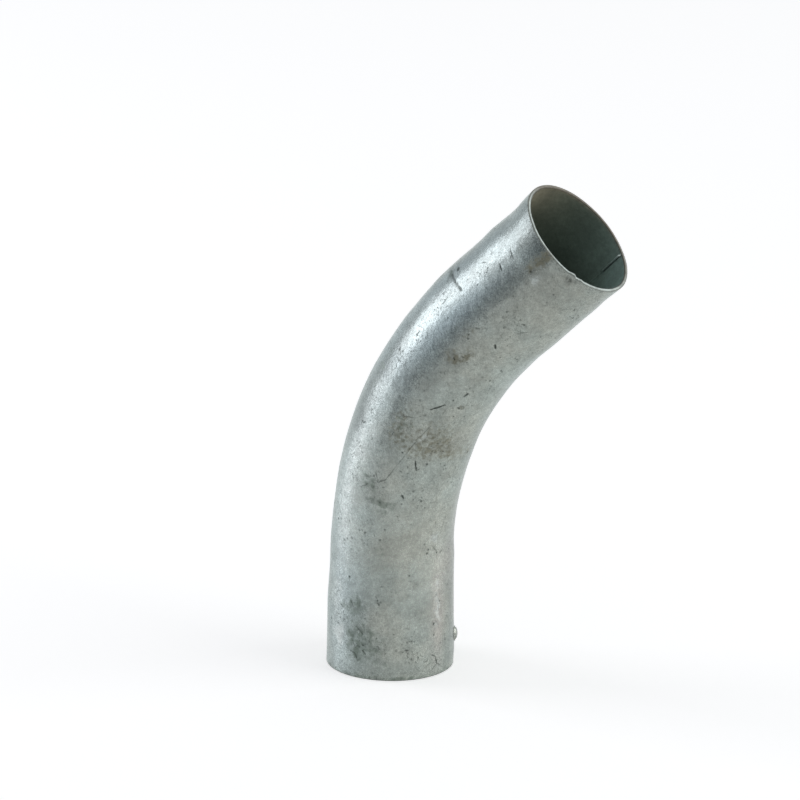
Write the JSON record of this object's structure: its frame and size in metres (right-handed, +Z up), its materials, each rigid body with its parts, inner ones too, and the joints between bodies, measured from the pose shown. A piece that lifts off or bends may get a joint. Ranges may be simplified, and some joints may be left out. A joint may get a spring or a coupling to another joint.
{
  "type": "pipe bend",
  "caption": "Thin-wall galvanised steel tube bend that turns a straight run through 45 degrees, with plain square-cut ends that butt to tube of the same size.",
  "frame": {"origin": "on the ground, half-way along X between the back of the lower end and the tip of the mouth, in the plane of the bend", "axes": "+Z up along the lower leg, +X the way the bend leans, +Y across the tube; the bend lies in the XZ plane"},
  "size_m": [0.1274, 0.0522, 0.2113],
  "materials": {
    "galvanised_steel": "hot-dip galvanised, mottled grey-green zinc with a dull satin shine"
  },
  "bodies": {
    "root": {"pipe_bend": "galvanised_steel"}
  },
  "joints": []
}
